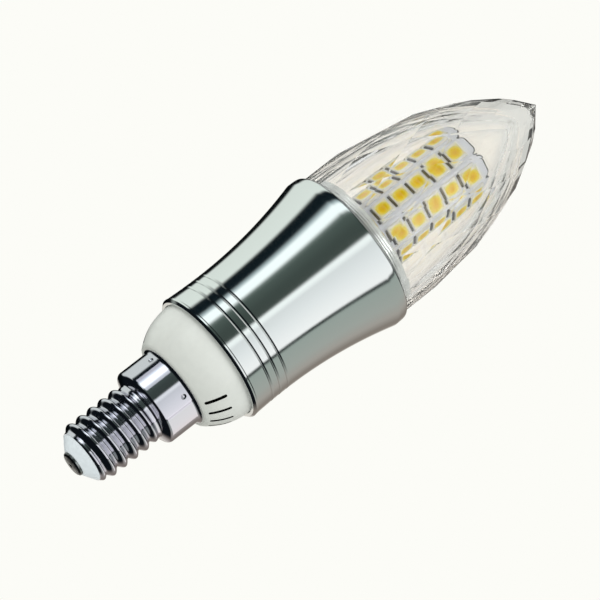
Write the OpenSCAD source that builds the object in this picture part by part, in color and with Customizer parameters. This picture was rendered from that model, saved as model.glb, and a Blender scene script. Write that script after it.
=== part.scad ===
// Candle bulb with an E14 screw cap, a turned aluminium body, a column of
// light-emitting chips and a thick faceted clear cover.
// The axis is +Z. The origin is on the axis, at the outer face of the centre contact.

/* [Screw cap] */
// Largest radius of the rolled thread, at its crests
thread_crest_r = 6.94; // [6.4:0.02:7.4]
// Smallest radius of the rolled thread, at its roots
thread_root_r = 5.86; // [5.7:0.02:6.1]
// Radius of the shell's mouth, round the insulator
mouth_r = 6.14; // [6:0.02:6.4]
// Rise of the thread in one turn
thread_pitch = 2.822; // [2.2:0.001:3.4]
// Length of the threaded part of the shell
thread_len = 15.2; // [12:0.1:20]
// Thickness of the rolled metal
shell_wall = 0.35; // [0.25:0.05:0.6]
// Radius of the smooth skirt above the thread
skirt_r = 8.7; // [8.2:0.05:9.6]
// Length of the smooth skirt
skirt_len = 6.2; // [4:0.1:12]
// Height of the rounded step between the thread and the skirt
step_h = 1.8; // [1.5:0.1:3.5]
// Number of punched dimples that hold the skirt on its housing
dimple_count = 5; // [2:1:9]
// Radius of the centre contact
contact_r = 2.75; // [2:0.05:3.6]
// Thickness of the centre contact's head
contact_t = 0.9; // [0.6:0.05:1.6]
// Height of the insulating cone between the contact and the shell
cone_h = 2; // [1.2:0.1:3.5]

/* [Base housing] */
// Thickness of the housing's wall
housing_wall = 1.3; // [0.8:0.1:2]
// Height of the housing between the skirt and the body
housing_h = 9.1; // [7.5:0.1:14]
// Width of the housing's ledge round the skirt's flared lip
ledge_w = 0.8; // [0.4:0.1:1.5]
// Number of groups of vent slots round the housing
vent_groups = 2; // [1:1:3]
// Number of slots in a group
vent_slots = 4; // [1:1:5]
// Width of a vent slot
vent_w = 0.75; // [0.4:0.05:1.2]

/* [Aluminium body] */
// Largest radius of the body
body_r = 18; // [17:0.1:21]
// Height of the widest place over the lip
widest_h = 36; // [33:0.1:60]
// How far the waist is drawn in from the widest place
waist_in = 3.5; // [2.5:0.1:4]
// Height of the waist over the lip
waist_h = 9; // [8:0.5:14]
// How far the lower lip stands out past the waist
lip_out = 0.3; // [0.1:0.1:1]
// Height of the rounded shoulder over the widest place
shoulder_h = 2.3; // [1.4:0.1:4]
// Width of the rounded rim round the cover
rim_w = 0.6; // [0.5:0.1:1.5]
// Thickness of the body's wall
body_wall = 1.5; // [1:0.1:1.8]
// Thickness of the body's wall round the housing's spigot
seat_wall = 0.9; // [0.7:0.1:1.2]
// Number of fine grooves turned in the body
groove_count = 3; // [0:1:3]

/* [Clear cover] */
// Height of the cover over the body's rim
cover_h = 51.3; // [46:0.1:70]
// Thickness of the cover at its mouth
cover_wall = 2.4; // [1.8:0.1:3]
// Thickness of the cover at its tip
tip_wall = 7.7; // [6:0.1:9]
// Number of facets round the cover
facet_count = 12; // [8:1:16]
// Height of the first row of facet corners over the rim
first_facet_h = 10; // [8:0.1:12]

/* [Light column] */
// Width of the post's foot round the column
foot_ledge = 5.3; // [4.8:0.1:6]
// Room between the column's top and the top of the cover's hollow
column_headroom = 11.9; // [11:0.1:16]
// Thickness of the board
board_t = 0.7; // [0.5:0.1:1]
// Distance between the middles of two chips in a row
chip_pitch = 4.85; // [4.4:0.05:5.2]
// Length of a chip along the column
chip_len = 3.8; // [2.8:0.1:4]
// Width of a chip across the column
chip_w = 4.2; // [2.8:0.1:4.2]
// Least width of board that is left free on each side of a chip
chip_margin = 0.65; // [0.3:0.05:0.65]
// Thickness of a chip
chip_t = 0.8; // [0.5:0.05:1]
// Width of the white rim round the yellow field on a chip
glow_rim = 0.3; // [0.2:0.05:0.8]

/* [Driver] */
// Thickness of the driver board
driver_t = 1.6; // [1:0.1:2]
// Room between the driver board's sides and the housing
driver_side_gap = 0.4; // [0.3:0.1:1.5]
// Room between the driver board and the body's deck
driver_top_gap = 2.5; // [1.5:0.1:5]
// Radius of the large capacitor
big_cap_r = 4; // [3:0.1:4.5]
// Room between the large capacitor's end and the housing's spigot
big_cap_gap = 1.2; // [0.5:0.1:3]
// Radius of the small capacitor
small_cap_r = 2.5; // [2:0.1:3]
// Room between the small capacitor's end and the housing's spigot
small_cap_gap = 0.3; // [0.2:0.1:3]
// Radius of the choke's flanges
choke_r = 4; // [3:0.1:4.5]
// Room between the choke's end and the housing's spigot
choke_gap = 0.7; // [0.3:0.1:3]
// Radius of the fusible resistor
fuse_r = 1.6; // [1:0.1:2]
// Length of the fusible resistor
fuse_len = 6.5; // [5:0.1:7]
// Radius of an insulated lead
lead_r = 0.55; // [0.3:0.05:0.7]

/* [Hidden] */
// Play between two pieces that slide into each other
play = 0.1;
// How far a cutter runs past the face that it cuts
over = 0.5;
// Smallest rounding on edges
edge = 0.25;

// Centre contact and insulator
stem_r = 0.9;
stem_len = 4.4;
contact_crown = 0.35;
nose_r = contact_r + edge;
cone_r = mouth_r - edge / 2;
plug_r = thread_root_r - shell_wall - play;
plug_len = 3.4;
insulator_top = contact_t + cone_h + plug_len;

// Heights of the shell
shell_bottom = contact_t + cone_h;
thread_top = shell_bottom + thread_len;
skirt_bottom = thread_top + step_h;
skirt_top = skirt_bottom + skirt_len;
flare_h = 0.8;
flare_out = 0.5;
shell_top = skirt_top + flare_h;
thread_mean_r = (thread_crest_r + thread_root_r) / 2;
thread_depth = (thread_crest_r - thread_root_r) / 2;
fade_share = 0.6;
thread_fade = thread_pitch * fade_share;
rows_per_turn = 9;
shell_columns = 44;
// Place along the thread of a crest on the +X side
crest_place_share = 0.58;
bend_share = 0.5;
dimple_ball_r = 0.8;
dimple_depth = 0.2;
dimple_place = 0.9;
dimple_turn = 290;
collar_h = 0.5;
collar_r = thread_mean_r + play;
collar_bore_r = thread_mean_r - shell_wall - edge / 10;

// Body's radii, from its largest one inwards
waist_r = body_r - waist_in;
lip_r = waist_r + lip_out;
housing_r = waist_r - seat_wall - play;
cover_r = body_r - rim_w - play;
cover_bore_r = cover_r - cover_wall;
hollow_h = cover_h - tip_wall;

// Housing
neck_r = skirt_r - shell_wall - play;
neck_bottom = skirt_bottom + edge;
housing_bottom = shell_top;
housing_top = housing_bottom + housing_h;
ledge_r = skirt_r + flare_out + ledge_w;
// Radius of the arc that leaves the ledge and ends upright at the spigot
bowl_r = (pow(housing_r - ledge_r, 2) + pow(housing_h, 2)) / (2 * (housing_r - ledge_r));
bowl_middle_r = housing_r - bowl_r;
spigot_len = 3.4;
vent_len = 4.9;
vent_step = 16.5;
vent_middle = 333.5;
vent_tilt = 23;
vent_place_share = 0.42;
vent_z = housing_bottom + housing_h * vent_place_share;

// Body
lip_bottom = housing_top;
waist_z = lip_bottom + waist_h;
widest_z = lip_bottom + widest_h;
rim_z = widest_z + shoulder_h;
rim_r = cover_r + play;
lip_seat_r = housing_r + play;
lip_seat_top = lip_bottom + spigot_len + play;
lip_bead_h = 0.5;
groove_step = 2.05;
groove_w = 0.3;
groove_depth = 0.14;
first_groove_rise = 5;
first_groove_z = lip_bottom + first_groove_rise;
trough_h = 2.8;
trough_z = rim_z - trough_h;
deck_bottom = trough_z - body_wall;
deck_rise = 1.8;
deck_top = trough_z + deck_rise;
sleeve_wall = 1.5;
sleeve_rise = 3;
sleeve_r = cover_bore_r - 3 * play;
sleeve_bore_r = sleeve_r - sleeve_wall;
sleeve_top = rim_z + sleeve_rise;
rib_count = 4;
rib_step = 0.55;
rib_depth = 0.18;
wire_hole_r = 2.2;

// Cover
shape_share = 2.554;
taper_share = 0.833;
last_row_share = 0.9;
facet_turn = 20;
band_h = 0.5;
apex_z = rim_z + cover_h;
facet_inset = 0.05;

// Column
foot_t = 1.5;
foot_r = sleeve_bore_r - 2 * play;
foot_top = deck_top + foot_t;
board_reach = foot_r - foot_ledge;
board_top = rim_z + hollow_h - column_headroom;
board_len = board_top - foot_top;
post_wall = 1.3;
post_reach = board_reach - board_t - play / 2;
post_drop = 1.4;
post_top = board_top - post_drop;
lobe_r = 1.5;
lobe_steps = 5;
lobe_stop = 75;
// Height of the first chip's middle over the foot, and the least that is left free over the last chip
first_chip_rise = 7.6;
last_chip_gap = 1.2;
first_chip_z = foot_top + first_chip_rise;
chips_per_row = 1 + floor((board_len - first_chip_rise - chip_len / 2 - last_chip_gap) / chip_pitch);
// The column has as many sides as chips of this width leave room for
column_sides = floor(180 / atan((chip_w / 2 + chip_margin) / board_reach));
glow_w = chip_len - 2 * glow_rim;
glow_t = 0.35;
column_turn = 254;
screw_r = 1;
screw_head_r = 1.7;
screw_head_h = 1.3;
screw_margin = 0.5;
screw_ring_r = foot_r - screw_head_r - screw_margin;
screw_bite = 2.2;
screw_slot_w = 0.5;
screw_turn = 20;

// Driver
package_gap = 0.05;
tongue_play = 0.2;
tongue_w = 2 * (neck_r - housing_wall - tongue_play);
tongue_rise = 0.6;
tongue_bottom = neck_bottom + tongue_rise;
driver_w = 2 * (housing_r - housing_wall - driver_side_gap);
driver_corner_r = norm([driver_w, driver_t]) / 2;
driver_bottom = housing_top + play
    - sqrt(pow(bowl_r - housing_wall, 2) - pow(driver_corner_r - bowl_middle_r, 2));
driver_top = deck_bottom - driver_top_gap;
face_y = driver_t / 2;
choke_flange = 1;
choke_core_share = 0.5;
choke_core_r = choke_r * choke_core_share;
winding_share = 0.86;
winding_r = choke_r * winding_share;
fuse_rise = 2.6;
// Places on the driver board: along its width from the middle, and over its lower edge
big_cap_place = [0, 11];
small_cap_place = [5.6, 21];
choke_place = [-4.2, 21.5];
// Room in front of the board inside the spigot, for a round component of radius r
function front_room(place, r) = sqrt(pow(housing_r - housing_wall, 2) - pow(abs(place.x) + r, 2)) - face_y;
big_cap_len = front_room(big_cap_place, big_cap_r) - big_cap_gap;
small_cap_len = front_room(small_cap_place, small_cap_r) - small_cap_gap;
choke_len = front_room(choke_place, choke_r) - choke_gap;
rectifier_place = [0, 5];
chip_place = [0, 14];
diode_place = [6, 14];
resistor_place = [-6, 23];
rectifier_size = [4.7, 2.5, 3.9];
chip_size = [3.9, 1.5, 4.9];
diode_size = [2.6, 2.2, 4.3];
resistor_size = [1.6, 0.6, 3.2];
resistor_step = 4;
resistor_count = 4;
neutral_len = 5;
lead_x = 2 * lead_r;

// A ring of solid turned about the axis from points of radius and height
module turned(points) {
    rotate_extrude($fn = 96)
        polygon(points);
}

// Values from 0 to 1 in equal steps
function steps(count) = [for (i = [0:count]) i / count];

// A smooth value from 0 to 1 as x passes from a to b
function ease(x, a, b) = let (s = max(0, min(1, (x - a) / (b - a)))) s * s * (3 - 2 * s);

// Points of an arc from angle a to angle b about a centre
function arc(centre, r, a, b, count) =
    [for (s = steps(count)) let (t = a + (b - a) * s)
        [centre.x + r * cos(t), centre.y + r * sin(t)]];

// Rivet-shaped contact with a slightly crowned head
module centre_contact() {
    crown = [for (s = steps(5)) [contact_r * s, contact_crown * s * s]];
    color("gray")
        turned(concat(crown, [
            [contact_r, contact_t],
            [stem_r, contact_t],
            [stem_r, contact_t + stem_len],
            [0, contact_t + stem_len]]));
}

// Moulded cone with a plug that fills the end of the shell
module cap_insulator() {
    cone = [for (s = steps(6)) [nose_r + (cone_r - nose_r) * sin(90 * s), contact_t + cone_h * s]];
    color("white")
        turned(concat([[stem_r + play / 2, contact_t]], cone, [
            [plug_r, shell_bottom],
            [plug_r, insulator_top],
            [stem_r + play / 2, insulator_top]]));
}

// Radius of the rolled sheet's outer face at height z and angle t
function shell_r(z, t) =
    let (start = ease(z, shell_bottom, shell_bottom + thread_fade))
    let (finish = 1 - ease(z, thread_top - thread_fade, thread_top))
    let (crest_z = shell_bottom + thread_len * crest_place_share)
    mouth_r + (thread_mean_r - mouth_r) * start
        + thread_depth * start * finish * cos(360 * (z - crest_z) / thread_pitch - t);

// Threaded tube rolled from sheet: both faces follow the same right-hand helix
module thread_tube() {
    top = thread_top + collar_h / 2;
    rows = ceil((top - shell_bottom) / thread_pitch * rows_per_turn);
    n = shell_columns;
    zs = [for (s = steps(rows)) shell_bottom + (top - shell_bottom) * s];
    function ring(wall) = [for (z = zs) for (i = [0:n - 1])
        let (t = 360 * i / n) let (r = shell_r(z, t) - wall)
        [r * cos(t), r * sin(t), z]];
    outer = ring(0);
    inner = ring(shell_wall);
    m = len(outer);
    function at(row, i) = row * n + i % n;
    sides = [for (row = [0:rows - 1]) for (i = [0:n - 1]) each [
        [at(row, i), at(row + 1, i), at(row + 1, i + 1)],
        [at(row, i), at(row + 1, i + 1), at(row, i + 1)],
        [m + at(row, i), m + at(row + 1, i + 1), m + at(row + 1, i)],
        [m + at(row, i), m + at(row, i + 1), m + at(row + 1, i + 1)]]];
    ends = [for (i = [0:n - 1]) each [
        [at(0, i), at(0, i + 1), m + at(0, i + 1)],
        [at(0, i), m + at(0, i + 1), m + at(0, i)],
        [at(rows, i), m + at(rows, i + 1), at(rows, i + 1)],
        [at(rows, i), m + at(rows, i), m + at(rows, i + 1)]]];
    polyhedron(concat(outer, inner), concat(sides, ends));
}

// Rounded step, smooth skirt and flared lip of the shell
module skirt() {
    bend = step_h * bend_share;
    outer = concat(
        arc([skirt_r - bend, skirt_bottom], bend, -40, 0, 4),
        [for (s = steps(4)) [skirt_r + flare_out * s * s, skirt_top + flare_h * s]]);
    turned(concat(
        [[collar_bore_r, thread_top], [collar_r, thread_top], [collar_r, thread_top + collar_h]],
        outer,
        [for (i = [len(outer) - 1:-1:0]) [outer[i].x - shell_wall, outer[i].y]],
        [[collar_bore_r, thread_top + collar_h]]));
}

// One shell rolled and drawn from sheet, punched onto its housing
module screw_shell() {
    color("silver")
        difference() {
            union() {
                thread_tube();
                skirt();
            }
            for (i = [0:dimple_count - 1])
                rotate([0, 0, dimple_turn + 360 * i / dimple_count])
                    translate([skirt_r + dimple_ball_r - dimple_depth, 0, skirt_top - dimple_place])
                        sphere(dimple_ball_r, $fn = 48);
        }
}

// Points of the housing's round face, drawn in by inset
function bowl(inset, from_z, count) =
    let (a = asin((housing_top - from_z) / (bowl_r - inset)))
    arc([bowl_middle_r, housing_top], bowl_r - inset, -a, 0, count);

// One slot with round ends, cut through the wall
module vent_slot() {
    reach = 4 * housing_wall;
    translate([housing_r - 3 * housing_wall, 0, vent_z])
        rotate([0, vent_tilt, 0])
            for (side = [-1, 1])
                union() {
                    translate([0, 0, side * (vent_len - vent_w) / 2])
                        rotate([0, 90, 0])
                            cylinder(h = reach, r = vent_w / 2, $fn = 24);
                    translate([0, -vent_w / 2, -(vent_len - vent_w) / 2])
                        cube([reach, vent_w, vent_len - vent_w]);
                }
}

// Round housing with a neck for the cap and a spigot for the body
module base_housing() {
    inner_r = housing_r - housing_wall;
    bore_r = neck_r - housing_wall;
    outer = concat(
        [[bore_r, neck_bottom], [neck_r, neck_bottom], [neck_r, housing_bottom]],
        bowl(0, housing_bottom, 12),
        [[housing_r, housing_top + spigot_len], [inner_r, housing_top + spigot_len]]);
    floor_z = housing_bottom + housing_wall;
    inside = bowl(housing_wall, floor_z, 10);
    color("whitesmoke")
        difference() {
            turned(concat(outer, [for (i = [len(inside) - 1:-1:0]) inside[i]], [[bore_r, floor_z]]));
            for (group = [0:vent_groups - 1])
                for (i = [0:vent_slots - 1])
                    rotate([0, 0, vent_middle + 360 * group / vent_groups
                            + vent_step * (i - (vent_slots - 1) / 2)])
                        vent_slot();
        }
}

// Radius of the body's outer face at height z
function body_face_r(z) = z < waist_z
    ? waist_r + (lip_r - waist_r) * pow((waist_z - z) / waist_h, 2)
    : waist_r + (body_r - waist_r) * pow((z - waist_z) / (widest_z - waist_z), 2);

// Turned vase-shaped body with a trough for the cover and a ribbed sleeve inside it
module heat_sink() {
    lip = [
        [lip_seat_r, lip_bottom],
        [lip_r - edge, lip_bottom],
        [lip_r, lip_bottom + edge],
        [lip_r, lip_bottom + lip_bead_h]];
    grooves = [for (i = [0:1:groove_count - 1])
        let (z = first_groove_z + groove_step * i) let (r = body_face_r(z)) each [
            [r, z - groove_w / 2],
            [r - groove_depth, z],
            [r, z + groove_w / 2]]];
    flare_low = waist_z + groove_step / 2;
    flare = [for (s = steps(16)) let (z = flare_low + (widest_z - flare_low) * s) [body_face_r(z), z]];
    shoulder = [for (s = steps(6)) let (t = 90 * s)
        [rim_r + edge + (body_r - rim_r - edge) * cos(t), widest_z + shoulder_h * sin(t)]];
    foot = [for (s = steps(3)) let (z = lip_bottom + lip_bead_h + edge / 2
        + (first_groove_z - lip_bottom - lip_bead_h - 2 * edge) * s) [body_face_r(z), z]];
    ribs = [for (i = [0:1:rib_count - 1]) let (z = sleeve_top - edge - rib_step * (rib_count - i)) each [
        [sleeve_r, z],
        [sleeve_r - rib_depth, z + rib_step / 2]]];
    inside = [for (s = steps(10)) let (z = deck_bottom - (deck_bottom - waist_z) * s)
        [body_face_r(z) - body_wall, z]];
    color("silver")
        difference() {
            turned(concat(lip, foot, grooves, flare,
                [for (i = [1:len(shoulder) - 1]) shoulder[i]],
                [[rim_r, rim_z], [rim_r, trough_z], [sleeve_r, trough_z]],
                ribs, [
                [sleeve_r, sleeve_top - edge],
                [sleeve_r - edge, sleeve_top],
                [sleeve_bore_r, sleeve_top],
                [sleeve_bore_r, deck_top],
                [wire_hole_r, deck_top],
                [wire_hole_r, deck_bottom]],
                inside, [
                [waist_r - body_wall, lip_seat_top],
                [lip_seat_r, lip_seat_top]]));
            at_each_screw()
                translate([0, 0, deck_bottom - over])
                    cylinder(h = deck_top - deck_bottom + 2 * over, r = screw_r + play / 2, $fn = 32);
        }
}

// Places one child on the axis of each screw of the post's foot
module at_each_screw() {
    for (a = [0, 180])
        rotate([0, 0, screw_turn + a])
            translate([screw_ring_r, 0, 0])
                children();
}

// A bar with as many flat sides as the column, its faces at the given reach
module column_bar(reach, h) {
    rotate([0, 0, column_turn + 180 / column_sides])
        linear_extrude(h)
            circle(reach / cos(180 / column_sides), $fn = column_sides);
}

// Aluminium tube with flat sides on a round foot: it takes the heat to the body
module core_post() {
    color("silver")
        difference() {
            union() {
                translate([0, 0, foot_top - edge])
                    column_bar(post_reach, post_top - foot_top + edge);
                translate([0, 0, deck_top])
                    cylinder(h = foot_t, r = foot_r, $fn = 96);
            }
            translate([0, 0, deck_top - over])
                cylinder(h = post_top - deck_top + 2 * over, r = post_reach - post_wall, $fn = 64);
            at_each_screw()
                translate([0, 0, deck_top - over])
                    cylinder(h = foot_t + 2 * over, r = screw_r + play, $fn = 32);
        }
}

// Two slotted screws that hold the post's foot on the deck
module post_screws() {
    color("gainsboro")
        at_each_screw()
            difference() {
                union() {
                    translate([0, 0, foot_top])
                        cylinder(h = screw_head_h, r = screw_head_r, $fn = 48);
                    translate([0, 0, deck_top - screw_bite])
                        cylinder(h = screw_bite + foot_t + edge, r = screw_r, $fn = 32);
                }
                translate([-screw_head_r - over, -screw_slot_w / 2, foot_top + screw_head_h / 2])
                    cube([2 * (screw_head_r + over), screw_slot_w, screw_head_h]);
            }
}

// Gap between two lobes at the board's upper edge
module lobe_gap() {
    right = [for (s = steps(lobe_steps)) let (t = lobe_stop * s)
        [lobe_r * (1 - sin(t)), lobe_r * (cos(t) - 1)]];
    left = [for (i = [len(right) - 1:-1:0]) [-right[i].x, right[i].y]];
    rotate([90, 0, 90])
        linear_extrude(2 * board_reach)
            polygon(concat([[lobe_r, over]], right, left, [[-lobe_r, over]]));
}

// Board folded round the post, with one lobed strip on each side
module led_board() {
    color("white")
        difference() {
            translate([0, 0, foot_top])
                column_bar(board_reach, board_len);
            translate([0, 0, foot_top - over])
                column_bar(board_reach - board_t, board_len + 2 * over);
            for (i = [0:column_sides - 1])
                rotate([0, 0, column_turn + 360 * (i + 0.5) / column_sides])
                    translate([0, 0, board_top])
                        lobe_gap();
        }
}

// Places one child on each chip's place, with +X pointing outwards
module at_each_chip() {
    for (i = [0:column_sides - 1])
        for (j = [0:chips_per_row - 1])
            rotate([0, 0, column_turn + 360 * i / column_sides])
                translate([board_reach, 0, first_chip_z + chip_pitch * j])
                    children();
}

// White packages with a square well, one on each place of the board
module led_packages() {
    color("ivory")
        at_each_chip()
            difference() {
                translate([0, -chip_w / 2, -chip_len / 2])
                    cube([chip_t, chip_w, chip_len]);
                translate([chip_t - glow_t, -glow_w / 2, -glow_w / 2])
                    cube([glow_t + over, glow_w, glow_w]);
            }
}

// Yellow filling in the wells of the packages
module led_phosphors() {
    color("gold")
        at_each_chip()
            translate([chip_t - glow_t, -glow_w / 2, -glow_w / 2])
                cube([glow_t - edge / 5, glow_w, glow_w]);
}

// Radius that the cover's facet corners lie on, at height h over the rim
function candle_r(h, r, top) = r * pow(max(0, 1 - pow(max(0, h) / top, shape_share)), taper_share);

// Radius at height h of the line through one corner and the middle of the edge above it
function facet_line(h, a, b) =
    let (ra = candle_r(a, cover_r, cover_h))
    let (rb = candle_r(b, cover_r, cover_h) * cos(180 / facet_count))
    ra + (rb - ra) * (h - a) / (b - a);

// Height where that line meets the candle's curve again, so that each facet is flat
function next_facet_h(a, b, low, high, turns) =
    let (middle = (low + high) / 2)
    turns == 0 ? middle
    : facet_line(middle, a, b) < candle_r(middle, cover_r, cover_h)
        ? next_facet_h(a, b, middle, high, turns - 1)
        : next_facet_h(a, b, low, middle, turns - 1);

// Heights of all the rows of facet corners
function facet_rows(rows) =
    let (a = rows[len(rows) - 2])
    let (b = rows[len(rows) - 1])
    b > last_row_share * cover_h ? rows
    : facet_rows(concat(rows, [next_facet_h(a, b, b, cover_h, 24)]));

// Solid candle shape with staggered flat facets and a pointed tip
module faceted_candle() {
    rows = facet_rows([-trough_h, first_facet_h]);
    n = facet_count;
    count = len(rows);
    corners = [for (k = [0:count - 1]) for (i = [0:n - 1])
        let (t = facet_turn + 360 * (i + (k % 2) / 2) / n)
        let (r = candle_r(rows[k], cover_r, cover_h) - facet_inset)
        [r * cos(t), r * sin(t), rim_z + rows[k] + (k == 0 ? facet_inset : 0)]];
    tip = len(corners);
    function at(k, i) = k * n + (i + n) % n;
    base = [for (i = [0:n - 1]) n - 1 - i];
    sides = [for (k = [0:count - 2]) for (i = [0:n - 1]) let (side = k % 2) each [
        [at(k, i), at(k + 1, i + side), at(k, i + 1)],
        [at(k, i), at(k + 1, i + side - 1), at(k + 1, i + side)]]];
    peak = [for (i = [0:n - 1]) [at(count - 1, i), tip, at(count - 1, i + 1)]];
    polyhedron(concat(corners, [[0, 0, apex_z]]), concat([base], sides, peak));
}

// Thick cover: faceted outside, smooth inside, with a round band that stands in the trough
module clear_cover() {
    hollow = [for (s = steps(14)) let (h = hollow_h * sin(90 * s))
        [candle_r(h, cover_bore_r, hollow_h), rim_z + h]];
    color("lightcyan", 0.5)
        difference() {
            union() {
                translate([0, 0, trough_z])
                    cylinder(h = rim_z + band_h - trough_z, r = cover_r, $fn = 96);
                faceted_candle();
            }
            turned(concat([[0, trough_z - over], [cover_bore_r, trough_z - over]], hollow));
        }
}

// Board with a narrow tongue that reaches down into the cap
module driver_board() {
    color("seagreen")
        union() {
            translate([-driver_w / 2, -face_y, driver_bottom])
                cube([driver_w, driver_t, driver_top - driver_bottom]);
            translate([-tongue_w / 2, -face_y, tongue_bottom])
                cube([tongue_w, driver_t, driver_bottom - tongue_bottom + edge]);
        }
}

// Places a round component's axis square to the board's front
module on_front(place) {
    translate([place.x, face_y, driver_bottom + place.y])
        rotate([-90, 0, 0])
            children();
}

// Fusible resistor that lies along the tongue
module fusible_resistor() {
    cap = fuse_len / 5;
    color("sienna")
        translate([0, face_y + package_gap + fuse_r, tongue_bottom + fuse_rise])
            union() {
                cylinder(h = cap, r = fuse_r, $fn = 32);
                translate([0, 0, cap - edge])
                    cylinder(h = fuse_len - 2 * cap + 2 * edge, r = fuse_r - edge, $fn = 32);
                translate([0, 0, fuse_len - cap])
                    cylinder(h = cap, r = fuse_r, $fn = 32);
            }
}

// A can with a crimped ring near its foot, as capacitors have
module capacitor(r, h) {
    crimp = r / 6;
    turned([
        [0, 0],
        [r, 0],
        [r, 2 * crimp],
        [r - crimp, 3 * crimp],
        [r, 4 * crimp],
        [r, h - crimp],
        [r - crimp, h],
        [0, h]]);
}

// Large capacitor behind the rectifier
module input_capacitor() {
    color("midnightblue")
        on_front(big_cap_place)
            capacitor(big_cap_r, big_cap_len);
}

// Small capacitor across the light column
module output_capacitor() {
    color("black")
        on_front(small_cap_place)
            capacitor(small_cap_r, small_cap_len);
}

// Ferrite spool of the choke
module choke_core() {
    color("dimgray")
        on_front(choke_place)
            turned([
                [0, 0],
                [choke_r, 0],
                [choke_r, choke_flange],
                [choke_core_r, choke_flange],
                [choke_core_r, choke_len - choke_flange],
                [choke_r, choke_len - choke_flange],
                [choke_r, choke_len],
                [0, choke_len]]);
}

// Copper winding on the spool
module choke_winding() {
    color("peru")
        on_front(choke_place)
            turned([
                [choke_core_r + package_gap, choke_flange + package_gap],
                [winding_r, choke_flange + package_gap],
                [winding_r, choke_len - choke_flange - package_gap],
                [choke_core_r + package_gap, choke_len - choke_flange - package_gap]]);
}

// A moulded package on the board's back, centred on its place
module back_package(place, size) {
    translate([place.x - size.x / 2, -face_y - size.y, driver_bottom + place.y - size.z / 2])
        cube(size);
}

// Bridge rectifier on the board's back
module bridge_rectifier() {
    color("black")
        back_package(rectifier_place, rectifier_size);
}

// Control chip on the board's back
module driver_chip() {
    color("black")
        back_package(chip_place, chip_size);
}

// Output diode on the board's back
module output_diode() {
    color("black")
        back_package(diode_place, diode_size);
}

// Small resistors in a row on the board's back
module chip_resistors() {
    color("black")
        for (i = [0:resistor_count - 1])
            back_package(resistor_place + [resistor_step * i, 0], resistor_size);
}

// Lead from the centre contact to the driver board
module live_lead() {
    color("saddlebrown")
        translate([0, 0, contact_t + stem_len])
            cylinder(h = tongue_bottom - contact_t - stem_len, r = lead_r, $fn = 24);
}

// Lead from the shell to the driver board
module neutral_lead() {
    color("steelblue")
        translate([thread_root_r - shell_wall - lead_r - play, 0, tongue_bottom - neutral_len])
            cylinder(h = neutral_len, r = lead_r, $fn = 24);
}

// Direction of the column's flat side nearest to a direction
function nearest_side(turn) =
    column_turn + 360 / column_sides * round((turn - column_turn) * column_sides / 360);

// Lead that rises inside the post and bends over to the board's inner face
module rising_lead(x, turn) {
    bend_z = post_top + 2 * lead_r;
    side = nearest_side(turn);
    translate([x, 0, driver_top])
        cylinder(h = bend_z - driver_top, r = lead_r, $fn = 24);
    translate([x, 0, bend_z])
        sphere(lead_r, $fn = 24);
    translate([x, 0, bend_z])
        rotate([0, 90, side])
            cylinder(h = board_reach - board_t - x * cos(side), r = lead_r, $fn = 24);
}

// Lead to the first chip of the column
module positive_lead() {
    color("firebrick")
        rising_lead(lead_x, 0);
}

// Lead from the last chip of the column
module negative_lead() {
    color("black")
        rising_lead(-lead_x, 180);
}

centre_contact();
cap_insulator();
screw_shell();
base_housing();
heat_sink();
core_post();
post_screws();
led_board();
led_packages();
led_phosphors();
clear_cover();
driver_board();
fusible_resistor();
bridge_rectifier();
input_capacitor();
output_capacitor();
choke_core();
choke_winding();
driver_chip();
output_diode();
chip_resistors();
live_lead();
neutral_lead();
positive_lead();
negative_lead();
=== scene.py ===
"""Looks of a candle bulb: nickel screw cap, white housing, polished aluminium body and a faceted cover."""

import math

import bmesh
import bpy
from mathutils import Matrix, Vector


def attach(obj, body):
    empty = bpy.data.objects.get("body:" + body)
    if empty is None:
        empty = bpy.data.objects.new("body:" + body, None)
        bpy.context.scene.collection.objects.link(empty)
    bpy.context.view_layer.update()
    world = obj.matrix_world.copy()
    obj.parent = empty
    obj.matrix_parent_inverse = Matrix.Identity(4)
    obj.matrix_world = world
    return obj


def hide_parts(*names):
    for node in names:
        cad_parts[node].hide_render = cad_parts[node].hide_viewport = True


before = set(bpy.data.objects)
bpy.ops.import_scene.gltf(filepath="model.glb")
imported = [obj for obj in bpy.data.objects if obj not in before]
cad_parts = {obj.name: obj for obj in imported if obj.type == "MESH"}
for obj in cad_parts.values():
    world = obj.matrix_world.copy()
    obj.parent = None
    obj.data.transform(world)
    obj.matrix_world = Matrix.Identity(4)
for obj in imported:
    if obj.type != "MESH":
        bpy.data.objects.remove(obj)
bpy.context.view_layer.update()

MM = 0.001
TAU = 2 * math.pi

# Sizes of the bulb, in millimetres: those of its solids, apart from the few drawn for the look

# Screw cap
CONTACT_R = 2.75
CONTACT_T = 0.9
CONTACT_CROWN = 0.35
STEM_R = 0.9
STEM_TOP = 5.3
INSULATOR_TOP = 6.3
THREAD_CREST_R = 6.94
THREAD_ROOT_R = 5.86
THREAD_MEAN_R = (THREAD_CREST_R + THREAD_ROOT_R) / 2
MOUTH_R = 6.14
THREAD_PITCH = 2.822
THREAD_BOTTOM = 2.9
THREAD_TOP = 18.1
THREAD_FADE = THREAD_PITCH * 0.6
CREST_Z = THREAD_BOTTOM + (THREAD_TOP - THREAD_BOTTOM) * 0.58
SHELL_WALL = 0.35
SKIRT_R = 8.7
SKIRT_BOTTOM = 19.9
SKIRT_TOP = 26.1
SHELL_TOP = 26.9
FLARE_OUT = 0.5
DIMPLES = 5
DIMPLE_TURN = 290
DIMPLE_Z = SKIRT_TOP - 0.9
# Drawn for the look: rounder crests and step, deeper dimples, and the mouth curled in to the cone
CREST_ROUNDING = 0.72
SKIRT_BEND = 1.0
NECK_BEND = 0.35
DIMPLE_BALL_R = 0.7
DIMPLE_DEPTH = 0.3
MOUTH_CURL = 0.33
MOUTH_CURL_H = 1.5

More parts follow.
